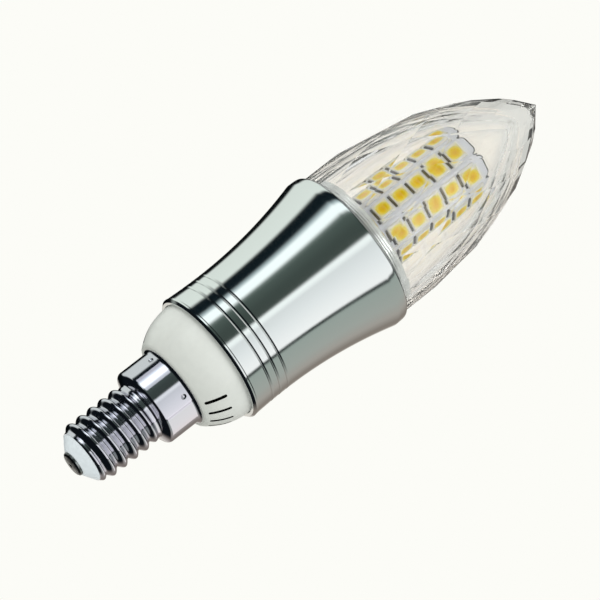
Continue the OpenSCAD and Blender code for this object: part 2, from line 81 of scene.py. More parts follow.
# Base housing
NECK_R = 8.25
NECK_BOTTOM = 20.15
LEDGE_R = 10.0
HOUSING_R = 13.5
HOUSING_WALL = 1.3
HOUSING_BOTTOM = SHELL_TOP
HOUSING_TOP = 36.0
HOUSING_H = HOUSING_TOP - HOUSING_BOTTOM
SPIGOT_TOP = 39.4
BOWL_R = ((HOUSING_R - LEDGE_R) ** 2 + HOUSING_H ** 2) / (2 * (HOUSING_R - LEDGE_R))
VENT_GROUPS = 2
VENTS = 4
VENT_LEN = 4.9
VENT_W = 0.75
VENT_STEP = 16.5
VENT_MIDDLE = 333.5
VENT_TILT = 23
VENT_Z = HOUSING_BOTTOM + HOUSING_H * 0.42

# Aluminium body
LIP_R = 14.8
WAIST_R = 14.5
WAIST_Z = 45.0
BODY_R = 18.0
BODY_WALL = 1.5
WIDEST_Z = 72.0
RIM_Z = 74.3
RIM_R = 17.4
TROUGH_Z = 71.5
DECK_BOTTOM = 70.0
DECK_TOP = 73.3
WIRE_HOLE_R = 2.2
SLEEVE_R = 14.6
SLEEVE_WALL = 1.5
SLEEVE_TOP = 77.3
SLEEVE_RIBS = 4
RIB_STEP = 0.55
FIRST_GROOVE_Z = 41.0
GROOVES = 3
GROOVE_STEP = 2.05
# Drawn for the look: a fuller shoulder, shallow ribs, and grooves wide enough to catch the light
SHOULDER_SHARE = 0.6
RIB_DEPTH = 0.13
GROOVE_W = 0.64
GROOVE_FLOOR = 0.06
GROOVE_DEPTH = 0.15

# Clear cover
COVER_R = 17.3
COVER_H = 51.3
COVER_BORE_R = 14.9
HOLLOW_H = 43.6
SHAPE_SHARE = 2.554
TAPER_SHARE = 0.833
LAST_ROW_SHARE = 0.9
BAND_H = 0.5
FACETS = 12
FACET_TURN = 20
FIRST_FACET_H = 10.0
FACET_INSET = 0.05

# Light column
COLUMN_SIDES = 9
COLUMN_TURN = 254
BOARD_REACH = 7.6
BOARD_T = 0.7
BOARD_BOTTOM = 74.8
BOARD_TOP = 106.0
LOBE_R = 1.5
LOBE_STOP = 75
CHIPS_PER_ROW = 5
CHIP_PITCH = 4.85
FIRST_CHIP_Z = 82.4
CHIP_LEN = 3.8
CHIP_W = 4.2
CHIP_T = 0.8
GLOW_W = 3.2
GLOW_T = 0.35


# Camera and light

# The photograph's view in the bulb's frame: the axis leans back, and climbs to the upper right. The
# distance is in metres, the lens and its sensor in millimetres
LEAN = math.radians(16.5)
ROLL = math.radians(37.87)
CAMERA_DISTANCE = 1.0
LENS = 294
SENSOR = 36
AIM = Vector((1.96, 0, 59.2)) * MM


def make_camera():
    """A long lens at the photograph's angle, a little under the level of the bulb."""
    ahead = Vector((0, math.cos(LEAN), math.sin(LEAN)))
    along = Vector((0, -math.sin(LEAN), math.cos(LEAN)))
    side = Vector((1, 0, 0))
    right = side * math.sin(ROLL) + along * math.cos(ROLL)
    up = along * math.sin(ROLL) - side * math.cos(ROLL)
    turn = Matrix((right, up, -ahead)).transposed()
    data = bpy.data.cameras.new("camera")
    data.lens = LENS
    data.sensor_width = SENSOR
    data.clip_start = 0.01
    data.clip_end = 20
    camera = bpy.data.objects.new("camera", data)
    camera.matrix_world = Matrix.Translation(AIM - ahead * CAMERA_DISTANCE) @ turn.to_4x4()
    bpy.context.scene.collection.objects.link(camera)
    bpy.context.scene.camera = camera


def linear(code, gain=1.0):
    """The linear colour of an sRGB hex code, made brighter or darker by the gain."""
    parts = [int(code[i:i + 2], 16) / 255 for i in (1, 3, 5)]
    return [gain * (p / 12.92 if p <= 0.04045 else ((p + 0.055) / 1.055) ** 2.4) for p in parts] + [1]


def add(tree, kind, settings=None, inputs=None):
    """Adds a node, sets its settings, and fills its inputs with values or links."""
    node = tree.nodes.new(kind)
    for name, value in (settings or {}).items():
        setattr(node, name, value)
    for name, value in (inputs or {}).items():
        if isinstance(value, bpy.types.NodeSocket):
            tree.links.new(value, node.inputs[name])
        else:
            node.inputs[name].default_value = value
    return node


def set_ramp(node, stops):
    """Gives a colour ramp its stops: pairs of place and linear colour."""
    elements = node.color_ramp.elements
    while len(elements) > 1:
        elements.remove(elements[-1])
    elements[0].position, elements[0].color = stops[0]
    for place, colour in stops[1:]:
        elements.new(place).color = colour


# Cards of the studio that the metal mirrors, from behind the bulb on the left, past the camera, to behind
# it on the right: the turn in degrees from the camera's side, the card's colour, and how much brighter
# than white it may be
CARDS = [
    (-180, "#ece7df"),
    (-176, "#dcd8d0"),
    (-172, "#070b0d"),
    (-146, "#070b0d"),
    (-138, "#dde5df", 1.1),
    (-94, "#e4ece6", 1.1),
    (-88, "#0a161c"),
    (-70, "#0c1a20"),
    (-63, "#c2d3d6"),
    (-59, "#f6ffff", 1.25),
    (-47, "#f6ffff", 1.25),
    (-41, "#6e7a75"),
    (-36, "#515e59"),
    (-20, "#45504c"),
    (-3, "#414b47"),
    (1, "#f4faf9", 1.2),
    (5, "#f4faf9", 1.2),
    (11, "#e0e5e6", 1.1),
    (30, "#e9edee", 1.14),
    (61, "#f7f8f8", 1.18),
    (63, "#26302e"),
    (66, "#26302e"),
    (69, "#a3aea8"),
    (104, "#acb1ab"),
    (126, "#aea9a2"),
    (146, "#8d857d"),
    (160, "#8d857d"),
    (172, "#d9d4cd"),
    (180, "#ece7df"),
]
# How far the cards reach, from straight below to straight above, 0 and 1 being the two poles: pairs of
# place and share. Beyond them lies one dark tone
CARD_HEIGHTS = [(0.0, 0), (0.27, 0), (0.37, 1), (0.78, 1), (0.85, 0), (1.0, 0)]
BEYOND_CARDS = "#11161a"
# A soft light straight overhead, which upward flanks mirror
OVERHEAD = [(0.0, linear("#000000")), (0.9, linear("#000000")), (0.94, linear("#d0d4d2"))]
# What shows through the clear cover, by turn as above: warm white, with a dark card behind on the left
# and a smaller one in front
COVER_CARDS = [
    (-180, "#f5f1e5"),
    (-172, "#f5f1e5"),
    (-167, "#ebe5da"),
    (-161, "#f8f3ea"),
    (-149, "#f3efe7"),
    (-144, "#17191b"),
    (-132, "#17191b"),
    (-126, "#eff2f1"),
    (-50, "#f2f4f3"),
    (-46, "#2b3330"),
    (-8, "#2b3330"),
    (-4, "#f2f4f3"),
    (118, "#eff1ee"),
    (130, "#dcddd8"),
    (146, "#e2e1da"),
    (161, "#ebe5db"),
    (167, "#e9e2d6"),
    (172, "#f5f1e5"),
    (180, "#f5f1e5"),
]
COVER_HEIGHTS = [(0.0, 0), (0.4, 0), (0.53, 1), (0.73, 1), (0.84, 0), (1.0, 0)]
BEYOND_COVER_CARDS = "#dfe0da"
BACKGROUND = "#fcfcf7"
SOFT_LIGHT = "#f6faf9"
SOFT_STRENGTH = 0.95
# The cards that the screw cap alone mirrors, in metres
CARD_DISTANCE = 2.0
CARD_HEIGHT = 0.8


def make_world():
    """A pale studio: plain behind the bulb, with upright light and dark cards for the metal to mirror."""
    world = bpy.data.worlds.new("studio")
    world.use_nodes = True
    bpy.context.scene.world = world
    bpy.context.scene.view_settings.view_transform = "Standard"
    tree = world.node_tree
    tree.nodes.clear()
    way = add(tree, "ShaderNodeTexCoord")
    axes = add(tree, "ShaderNodeSeparateXYZ", inputs={0: way.outputs["Generated"]})
    x, y, z = axes.outputs
    towards = add(tree, "ShaderNodeMath", {"operation": "MULTIPLY"}, {0: y, 1: -1.0})
    turn = add(tree, "ShaderNodeMath", {"operation": "ARCTAN2"}, {0: x, 1: towards.outputs[0]})
    place = add(tree, "ShaderNodeMath", {"operation": "MULTIPLY_ADD"}, {
        0: turn.outputs[0], 1: 1 / TAU, 2: 0.5})
    height = add(tree, "ShaderNodeMath", {"operation": "MULTIPLY_ADD"}, {0: z, 1: 0.5, 2: 0.5})
    overhead = add(tree, "ShaderNodeValToRGB", inputs={"Fac": height.outputs[0]})
    set_ramp(overhead, OVERHEAD)
    shown = []
    for cards, heights, beyond, top_share in ((CARDS, CARD_HEIGHTS, BEYOND_CARDS, 1.0),
                                              (COVER_CARDS, COVER_HEIGHTS, BEYOND_COVER_CARDS, 0.0)):
        band = add(tree, "ShaderNodeValToRGB", inputs={"Fac": place.outputs[0]})
        set_ramp(band, [((card_turn + 180) / 360, linear(*tone)) for card_turn, *tone in cards])
        reach = add(tree, "ShaderNodeValToRGB", inputs={"Fac": height.outputs[0]})
        set_ramp(reach, [(level, [share, share, share, 1]) for level, share in heights])
        both = add(tree, "ShaderNodeMix", {"data_type": "RGBA"}, {
            0: reach.outputs["Color"], 6: linear(beyond), 7: band.outputs["Color"]})
        lit = add(tree, "ShaderNodeMix", {"data_type": "RGBA", "blend_type": "ADD"}, {
            0: top_share, 6: both.outputs[2], 7: overhead.outputs["Color"]})
        shown.append(add(tree, "ShaderNodeBackground", inputs={"Color": lit.outputs[2]}).outputs[0])
    seen, through = shown
    soft = add(tree, "ShaderNodeBackground", inputs={
        "Color": linear(SOFT_LIGHT), "Strength": SOFT_STRENGTH})
    plain = add(tree, "ShaderNodeBackground", inputs={"Color": linear(BACKGROUND)})
    path = add(tree, "ShaderNodeLightPath")
    for ray, shade in (("Is Transmission Ray", through), ("Is Diffuse Ray", soft.outputs[0]),
                       ("Is Camera Ray", plain.outputs[0])):
        choice = add(tree, "ShaderNodeMixShader", inputs={0: path.outputs[ray], 1: seen, 2: shade})
        seen = choice.outputs[0]
    add(tree, "ShaderNodeOutputWorld", inputs={"Surface": seen})


def add_light(name, place, size, power):
    """A soft square lamp that lights the plastics, and that the mirror finishes don't show."""
    data = bpy.data.lights.new(name, "AREA")
    data.energy = power
    data.size = size
    lamp = bpy.data.objects.new(name, data)
    lamp.location = place
    lamp.rotation_euler = (AIM - Vector(place)).to_track_quat("-Z", "Y").to_euler()
    lamp.visible_glossy = False
    bpy.context.scene.collection.objects.link(lamp)


def add_cap_card(name, low_turn, high_turn, colour, brightness):
    """A card that only the screw cap mirrors, from one turn to another, seen from the camera's side."""
    half = math.radians(high_turn - low_turn) / 2
    away = math.radians(high_turn + low_turn) / 2
    width, height = 2 * CARD_DISTANCE * math.tan(half), CARD_HEIGHT
    data = bpy.data.lights.new(name, "AREA")
    data.shape = "RECTANGLE"
    data.size = width
    data.size_y = height
    data.energy = brightness * math.pi * width * height
    data.color = linear(colour)[:3]
    lamp = bpy.data.objects.new(name, data)
    lamp.location = (CARD_DISTANCE * math.sin(away), -CARD_DISTANCE * math.cos(away),
                     CARD_DISTANCE * math.tan(LEAN))
    lamp.rotation_euler = (math.pi / 2, 0, away)
    bpy.context.scene.collection.objects.link(lamp)
    group = bpy.data.collections.new(name)
    group.objects.link(bpy.data.objects["cap_shell"])
    lamp.light_linking.receiver_collection = group


def make_stage():
    """A pale floor far under the bulb, out of the way of every view."""
    half, depth = 4.0, -1.3
    corners = [(x, y, depth) for x, y in ((-half, -half), (half, -half), (half, half), (-half, half))]
    mesh = bpy.data.meshes.new("floor")
    mesh.from_pydata(corners, [], [(0, 1, 2, 3)])
    floor = bpy.data.objects.new("floor", mesh)
    bpy.context.scene.collection.objects.link(floor)
    floor.data.materials.append(grained("studio_floor_paint", "#f4f4f0", 0.8, grain_mm=20))
    floor.visible_glossy = False
    floor.visible_transmission = False


# Materials

def new_material(name):
    """An empty material with its shader; gives the material, its tree and the shader."""
    material = bpy.data.materials.new(name)
    material.use_nodes = True
    tree = material.node_tree
    tree.nodes.clear()
    shader = add(tree, "ShaderNodeBsdfPrincipled")
    add(tree, "ShaderNodeOutputMaterial", inputs={"Surface": shader.outputs[0]})
    return material, tree, shader


def grained(name, code, roughness, metallic=0.0, ior=None, grain_mm=0.4, depth_mm=0.004, shade=0.93,
            strength=0.5):
    """A finish with a faint mottle in its colour and fine grain in its surface."""
    material, tree, shader = new_material(name)
    where = add(tree, "ShaderNodeTexCoord")
    grain = add(tree, "ShaderNodeTexNoise", inputs={
        "Vector": where.outputs["Object"], "Scale": 1 / (grain_mm * MM), "Detail": 3.0})
    tone = add(tree, "ShaderNodeValToRGB", inputs={"Fac": grain.outputs["Fac"]})
    set_ramp(tone, [(0.3, linear(code, shade)), (0.7, linear(code))])
    bump = add(tree, "ShaderNodeBump", inputs={
        "Height": grain.outputs["Fac"], "Strength": strength, "Distance": depth_mm * MM})
    tree.links.new(tone.outputs["Color"], shader.inputs["Base Color"])
    tree.links.new(bump.outputs["Normal"], shader.inputs["Normal"])
    shader.inputs["Roughness"].default_value = roughness
    shader.inputs["Metallic"].default_value = metallic
    if ior:
        shader.inputs["IOR"].default_value = ior
    return material


def grained_with_painted_shade(name, code, painted_shade_code, roughness, ior, grain_mm):
    """A grained finish with painted shade: a second, dark tone on the faces that the attribute inside marks.
    """
    material = grained(name, code, roughness, 0.0, ior, grain_mm, 0.01, 0.96, 0.3)
    tree = material.node_tree
    base = tree.nodes["Principled BSDF"].inputs["Base Color"]
    # The attribute inside marks the faces whose colour is painted shade
    inside = add(tree, "ShaderNodeAttribute", {"attribute_name": "inside"})
    shaded = add(tree, "ShaderNodeMix", {"data_type": "RGBA"}, {
        0: inside.outputs["Fac"], 6: base.links[0].from_socket, 7: linear(painted_shade_code)})
    tree.links.new(shaded.outputs[2], base)
    return material


def turned_metal(name, code, roughness, line_mm, depth_mm, cloud_mm):
    """Metal polished on a lathe: rings across the axis, drawn coarse enough to show, and a faint haze."""
    material, tree, shader = new_material(name)
    where = add(tree, "ShaderNodeTexCoord")
    axes = add(tree, "ShaderNodeSeparateXYZ", inputs={0: where.outputs["Object"]})
    lines = add(tree, "ShaderNodeTexNoise", {"noise_dimensions": "1D"}, {
        "W": axes.outputs["Z"], "Scale": 1 / (line_mm * MM), "Detail": 2.0})
    bump = add(tree, "ShaderNodeBump", inputs={
        "Height": lines.outputs["Fac"], "Strength": 0.4, "Distance": depth_mm * MM})
    haze = add(tree, "ShaderNodeTexNoise", inputs={
        "Vector": where.outputs["Object"], "Scale": 1 / (cloud_mm * MM), "Detail": 2.0})
    rough = add(tree, "ShaderNodeMapRange", inputs={
        "Value": haze.outputs["Fac"], "To Min": roughness * 0.8, "To Max": roughness * 1.25})
    tree.links.new(rough.outputs["Result"], shader.inputs["Roughness"])
    tree.links.new(bump.outputs["Normal"], shader.inputs["Normal"])
    shader.inputs["Base Color"].default_value = linear(code)
    shader.inputs["Metallic"].default_value = 1.0
    return material


def clear_plastic(name, code, ior, leak):
    """Moulded clear acrylic: sharp, a little wavy, with a share of the light let straight on."""
    material, tree, shader = new_material(name)
    where = add(tree, "ShaderNodeTexCoord")
    wave = add(tree, "ShaderNodeTexNoise", inputs={
        "Vector": where.outputs["Object"], "Scale": 1 / (8 * MM), "Detail": 1.0})
    bump = add(tree, "ShaderNodeBump", inputs={
        "Height": wave.outputs["Fac"], "Strength": 0.1, "Distance": 0.1 * MM})
    tree.links.new(bump.outputs["Normal"], shader.inputs["Normal"])
    shader.inputs["Base Color"].default_value = linear(code)
    shader.inputs["Roughness"].default_value = 0.0
    shader.inputs["IOR"].default_value = ior
    shader.inputs["Transmission Weight"].default_value = 1.0
    surface = shader.outputs[0].links[0].to_socket
    straight = add(tree, "ShaderNodeBsdfTransparent")
    mix = add(tree, "ShaderNodeMixShader", inputs={0: leak, 1: shader.outputs[0], 2: straight.outputs[0]})
    tree.links.new(mix.outputs[0], surface)
    return material


def phosphor(name):
    """Yellow silicone over the chip: deep amber in the middle, pale where the filling thins at the rim."""
    material, tree, shader = new_material(name)
    middle = add(tree, "ShaderNodeAttribute", {"attribute_name": "middle"})
    where = add(tree, "ShaderNodeTexCoord")
    grain = add(tree, "ShaderNodeTexNoise", inputs={
        "Vector": where.outputs["Object"], "Scale": 1 / (0.25 * MM), "Detail": 2.0})
    uneven = add(tree, "ShaderNodeMapRange", inputs={
        "Value": grain.outputs["Fac"], "To Min": -0.06, "To Max": 0.06})
    depth = add(tree, "ShaderNodeMath", {"operation": "ADD"}, {
        0: middle.outputs["Fac"], 1: uneven.outputs["Result"]})
    tone = add(tree, "ShaderNodeValToRGB", inputs={"Fac": depth.outputs[0]})
    set_ramp(tone, [(0.05, linear("#fff6c8")), (0.25, linear("#ffe964")), (0.5, linear("#ffd800")),
                    (0.85, linear("#f8c000"))])
    tree.links.new(tone.outputs["Color"], shader.inputs["Base Color"])
    shader.inputs["Roughness"].default_value = 0.6
    shader.inputs["IOR"].default_value = 1.3
    return material


# Meshes

def link_piece(name, mesh, material):
    """An object at the origin for a finished mesh, with its material."""
    piece = bpy.data.objects.new(name, mesh)
    bpy.context.scene.collection.objects.link(piece)
    if material:
        mesh.materials.clear()
        mesh.materials.append(material)
    return piece


def mark_smooth(mesh, angle):
    """Shades all faces smoothly, apart from across edges sharper than the angle in degrees."""
    work = bmesh.new()
    work.from_mesh(mesh)
    for face in work.faces:
        face.smooth = True
    for edge in work.edges:
        edge.smooth = edge.is_manifold and edge.calc_face_angle(0) < math.radians(angle)
    work.to_mesh(mesh)
    work.free()


def closed_mesh(name, corners, faces, smooth_angle=None):
    """A closed mesh in metres from corners in millimetres, with its faces turned outwards."""
    mesh = bpy.data.meshes.new(name)
    mesh.from_pydata([Vector(p) * MM for p in corners], [], faces)
    work = bmesh.new()
    work.from_mesh(mesh)
    bmesh.ops.remove_doubles(work, verts=work.verts, dist=1e-7)
    bmesh.ops.recalc_face_normals(work, faces=work.faces)
    work.to_mesh(mesh)
    work.free()
    if smooth_angle is not None:
        mark_smooth(mesh, smooth_angle)
    return mesh


def turned_mesh(name, outline, columns, smooth_angle, bend=None, crowd=None):
    """A mesh turned about the axis from a closed outline; bend moves a point, crowd moves a column."""
    on_axis = 1e-6
    corners = []
    for r, z in outline:
        for i in range(columns):
            turn = crowd(TAU * i / columns) if crowd else TAU * i / columns
            radius = r + (bend(z, turn, r) if bend else 0)
            corners.append((radius * math.cos(turn), radius * math.sin(turn), z))
    faces = []
    for k, low in enumerate(outline):
        high = outline[(k + 1) % len(outline)]
        if low[0] < on_axis and high[0] < on_axis:
            continue
        a, b = k * columns, (k + 1) % len(outline) * columns
        for i in range(columns):
            j = (i + 1) % columns
            ring = [a + i, a + j, b + j, b + i]
            if low[0] < on_axis:
                ring = [a, b + j, b + i]
            elif high[0] < on_axis:
                ring = [a + i, a + j, b]
            faces.append(ring)
    return closed_mesh(name, corners, faces, smooth_angle)


def steps(count, first=0):
    """Shares from 0 to 1 in equal steps."""
    return [i / count for i in range(first, count + 1)]


def arc(centre, radius, start, stop, count):
    """Points on an arc, from one angle to another in degrees."""
    angles = [math.radians(start + (stop - start) * s) for s in steps(count)]
    return [(centre[0] + radius * math.cos(a), centre[1] + radius * math.sin(a)) for a in angles]


def evaluated_mesh(piece):
    """The piece's mesh with its modifiers applied."""
    graph = bpy.context.evaluated_depsgraph_get()
    return bpy.data.meshes.new_from_object(piece.evaluated_get(graph))


def cut(piece, cutter, operation="DIFFERENCE"):
    """Cuts a piece with another, or joins the two, and removes the cutter."""
    knife = piece.modifiers.new("cut", "BOOLEAN")
    knife.object = cutter
    knife.operation = operation
    knife.solver = "EXACT"
    mesh = evaluated_mesh(piece)
    piece.modifiers.clear()
    piece.data = mesh
    bpy.data.objects.remove(cutter)


def new_tree(name, inputs):
    """A geometry tree with named inputs of a kind each; gives the tree and its input node."""
    tree = bpy.data.node_groups.new(name, "GeometryNodeTree")
    tree.interface.new_socket("Geometry", in_out="INPUT", socket_type="NodeSocketGeometry")
    tree.interface.new_socket("Geometry", in_out="OUTPUT", socket_type="NodeSocketGeometry")
    for label, kind in inputs.items():
        tree.interface.new_socket(label, in_out="INPUT", socket_type=kind)
    return tree, tree.nodes.new("NodeGroupInput")


def grown_piece(name, mesh, tree, values, material):
    """The piece that the tree makes of the mesh, with these values of the tree's inputs."""
    carrier = link_piece(name + "_start", mesh, None)
    modifier = carrier.modifiers.new(tree.name, "NODES")
    modifier.node_group = tree
    for socket in tree.interface.items_tree:
        if socket.in_out == "INPUT" and socket.name in values:
            modifier[socket.identifier] = values[socket.name]
    grown = evaluated_mesh(carrier)
    grown.name = name
    bpy.data.objects.remove(carrier)
    return link_piece(name, grown, material)


# Screw cap

def thread_tree(material):
    """Rolls the thread into a straight tube: a right-hand helix that fades in and out."""
    lengths = ["Bottom", "Top", "Pitch", "Depth", "Draw", "Crest", "Fade", "Rounding"]
    tree, sizes = new_tree("rolled_thread", {name: "NodeSocketFloat" for name in lengths})
    size = sizes.outputs
    place = add(tree, "GeometryNodeInputPosition")
    axes = add(tree, "ShaderNodeSeparateXYZ", inputs={0: place.outputs[0]})
    x, y, z = axes.outputs
    turn = add(tree, "ShaderNodeMath", {"operation": "ARCTAN2"}, {0: y, 1: x})
    faded_in = add(tree, "ShaderNodeMath", {"operation": "ADD"}, {0: size["Bottom"], 1: size["Fade"]})
    fades_out = add(tree, "ShaderNodeMath", {"operation": "SUBTRACT"}, {0: size["Top"], 1: size["Fade"]})
    start = add(tree, "ShaderNodeMapRange", {"interpolation_type": "SMOOTHSTEP"}, {
        "Value": z, "From Min": size["Bottom"], "From Max": faded_in.outputs[0]})
    finish = add(tree, "ShaderNodeMapRange", {"interpolation_type": "SMOOTHSTEP"}, {
        "Value": z, "From Min": fades_out.outputs[0], "From Max": size["Top"], "To Min": 1.0, "To Max": 0.0})
    height = add(tree, "ShaderNodeMath", {"operation": "SUBTRACT"}, {0: z, 1: size["Crest"]})
    turns = add(tree, "ShaderNodeMath", {"operation": "DIVIDE"}, {0: height.outputs[0], 1: size["Pitch"]})
    angle = add(tree, "ShaderNodeMath", {"operation": "MULTIPLY"}, {0: turns.outputs[0], 1: TAU})
    phase = add(tree, "ShaderNodeMath", {"operation": "SUBTRACT"}, {0: angle.outputs[0], 1: turn.outputs[0]})
    cosine = add(tree, "ShaderNodeMath", {"operation": "COSINE"}, {0: phase.outputs[0]})
    lifted = add(tree, "ShaderNodeMath", {"operation": "MULTIPLY_ADD"}, {
        0: cosine.outputs[0], 1: 0.5, 2: 0.5})
    rounded = add(tree, "ShaderNodeMath", {"operation": "POWER"}, {0: lifted.outputs[0], 1: size["Rounding"]})
    wave = add(tree, "ShaderNodeMath", {"operation": "MULTIPLY_ADD"}, {
        0: rounded.outputs[0], 1: 2.0, 2: -1.0})
    shown = add(tree, "ShaderNodeMath", {"operation": "MULTIPLY"}, {
        0: start.outputs[0], 1: finish.outputs[0]})
    swing = add(tree, "ShaderNodeMath", {"operation": "MULTIPLY"}, {0: wave.outputs[0], 1: shown.outputs[0]})
    before = add(tree, "ShaderNodeMath", {"operation": "SUBTRACT"}, {0: 1.0, 1: start.outputs[0]})
    drawn = add(tree, "ShaderNodeMath", {"operation": "MULTIPLY"}, {0: before.outputs[0], 1: size["Draw"]})
    rise = add(tree, "ShaderNodeMath", {"operation": "MULTIPLY"}, {0: swing.outputs[0], 1: size["Depth"]})
    amount = add(tree, "ShaderNodeMath", {"operation": "SUBTRACT"}, {0: rise.outputs[0], 1: drawn.outputs[0]})
    outwards = add(tree, "ShaderNodeCombineXYZ", inputs={"X": x, "Y": y})
    unit = add(tree, "ShaderNodeVectorMath", {"operation": "NORMALIZE"}, {0: outwards.outputs[0]})
    move = add(tree, "ShaderNodeVectorMath", {"operation": "SCALE"}, {
        0: unit.outputs[0], "Scale": amount.outputs[0]})
    rolled = add(tree, "GeometryNodeSetPosition", inputs={
        "Geometry": size["Geometry"], "Offset": move.outputs[0]})
    real = add(tree, "GeometryNodeRealizeInstances", inputs={0: rolled.outputs[0]})
    finished = add(tree, "GeometryNodeSetMaterial", inputs={0: real.outputs[0], "Material": material})
    add(tree, "NodeGroupOutput", inputs={0: finished.outputs[0]})
    return tree


def dimple(z, turn, r):
    """How far the punch has moved the skirt at this place: round dents, evenly round the rim."""
    if not SKIRT_BOTTOM < z < SKIRT_TOP:
        return 0
    step = TAU / DIMPLES
    near = (turn - math.radians(DIMPLE_TURN) + step / 2) % step - step / 2
    away = (z - DIMPLE_Z) ** 2 + (near * r) ** 2
    reach = DIMPLE_BALL_R - DIMPLE_DEPTH
    return -max(0, math.sqrt(max(0, DIMPLE_BALL_R ** 2 - away)) - reach)


def crowd_at_dimples(turn):
    """Draws the columns of the mesh together where the dimples are."""
    pull = 0.6
    return turn - pull / DIMPLES * math.sin(DIMPLES * (turn - math.radians(DIMPLE_TURN)))


def make_screw_shell(material):
    """The cap's metal: thread, rounded step, skirt and flared lip, drawn and rolled from one sheet."""
    thread_rows = 118
    neck_rise, lip_drop = 0.1, 0.1
    outer = []
    for s in steps(thread_rows):
        rise = (THREAD_TOP - THREAD_BOTTOM) * s
        curl = MOUTH_CURL * max(0, 1 - rise / MOUTH_CURL_H) ** 2
        outer.append((THREAD_MEAN_R - curl, THREAD_BOTTOM + rise))
    outer += arc((THREAD_MEAN_R + NECK_BEND, THREAD_TOP + neck_rise), NECK_BEND, 180, 112, 5)
    outer += arc((SKIRT_R - SKIRT_BEND, SKIRT_BOTTOM), SKIRT_BEND, -50, 0, 9)
    dimple_low = DIMPLE_Z - DIMPLE_BALL_R
    outer += [(SKIRT_R, SKIRT_BOTTOM + (dimple_low - SKIRT_BOTTOM) * s) for s in steps(4, 1)]
    outer += [(SKIRT_R, dimple_low + 2 * DIMPLE_BALL_R * s) for s in steps(14, 1)]
    outer += [(SKIRT_R, SKIRT_TOP)]
    flare_h = SHELL_TOP - SKIRT_TOP - lip_drop
    outer += [(SKIRT_R + FLARE_OUT * s * s, SKIRT_TOP + flare_h * s) for s in steps(6, 1)]
    inner = [(r - SHELL_WALL, z) for r, z in reversed(outer)]
    edge_r = SKIRT_R + FLARE_OUT - SHELL_WALL / 2
    lip = arc((edge_r, SHELL_TOP - lip_drop), SHELL_WALL / 2, 0, 180, 6)
    lip = [(r, min(z, SHELL_TOP)) for r, z in lip]
    mesh = turned_mesh("shell_sheet", outer + lip[1:-1] + inner, 240, 60, dimple, crowd_at_dimples)
    return grown_piece("cap_shell", mesh, thread_tree(material), {
        "Bottom": THREAD_BOTTOM * MM, "Top": THREAD_TOP * MM, "Pitch": THREAD_PITCH * MM,
        "Depth": (THREAD_CREST_R - THREAD_MEAN_R) * MM, "Draw": (THREAD_MEAN_R - MOUTH_R) * MM,
        "Crest": CREST_Z * MM, "Fade": THREAD_FADE * MM, "Rounding": CREST_ROUNDING}, material)


def make_contact(material):
    """Riveted contact: a crowned head with a rounded rim and a small dent in its middle."""
    rim = 0.22
    face, flat_share, crown_share = 0.02, 0.88, 0.6
    dent = [(0, 0.16), (0.25, 0.14), (0.45, 0.05)]
    head = [(CONTACT_R * s * flat_share, face + CONTACT_CROWN * s * s * crown_share) for s in steps(10, 2)]
    edge = arc((CONTACT_R - rim, CONTACT_CROWN + rim), rim, 270, 360, 5)
    stem = [(CONTACT_R, CONTACT_T), (STEM_R, CONTACT_T), (STEM_R, STEM_TOP), (0, STEM_TOP)]
    return link_piece("cap_contact", turned_mesh("cap_contact", dent + head + edge + stem, 96, 40), material)


def make_insulator(material):
    """Moulded cone round the contact, with a soft shoulder under the shell."""
    rim, shoulder_share = 0.15, 0.15
    stem_gap, mouth_gap, plug_gap = 0.05, 0.08, 0.1
    low, high = CONTACT_R + 0.25, MOUTH_R - MOUTH_CURL - mouth_gap
    rise = THREAD_BOTTOM - CONTACT_T
    cone = []
    for s in steps(16):
        swell = (1 - shoulder_share) * s + shoulder_share * math.sin(math.pi / 2 * s)
        cone.append((low + (high - low) * swell, CONTACT_T + rise * s))
    bore = STEM_R + stem_gap
    plug = THREAD_ROOT_R - SHELL_WALL - plug_gap
    outline = [(bore, CONTACT_T), (low - rim, CONTACT_T)] + cone + [
        (plug, THREAD_BOTTOM), (plug, INSULATOR_TOP), (bore, INSULATOR_TOP)]
    return link_piece("cap_cone", turned_mesh("cap_cone", outline, 128, 50), material)


# Base housing

def vent_cutter(middle):
    """A stadium-shaped punch through the housing's wall, at a turn in degrees."""
    half = (VENT_LEN - VENT_W) / 2
    ring = arc((0, half), VENT_W / 2, 0, 180, 8) + arc((0, -half), VENT_W / 2, 180, 360, 8)
    reach = 4 * HOUSING_WALL
    corners = [(x, y, z) for x in (0, reach) for y, z in ring]
    count = len(ring)
    faces = [[i, (i + 1) % count, count + (i + 1) % count, count + i] for i in range(count)]
    faces += [list(range(count)), list(range(count, 2 * count))]
    mesh = closed_mesh("vent", corners, faces)
    place = Vector((HOUSING_R - 3 * HOUSING_WALL, 0, VENT_Z)) * MM
    mesh.transform(Matrix.Rotation(math.radians(middle), 4, "Z") @ Matrix.Translation(place)
                   @ Matrix.Rotation(math.radians(VENT_TILT), 4, "Y"))
    return link_piece("vent", mesh, None)


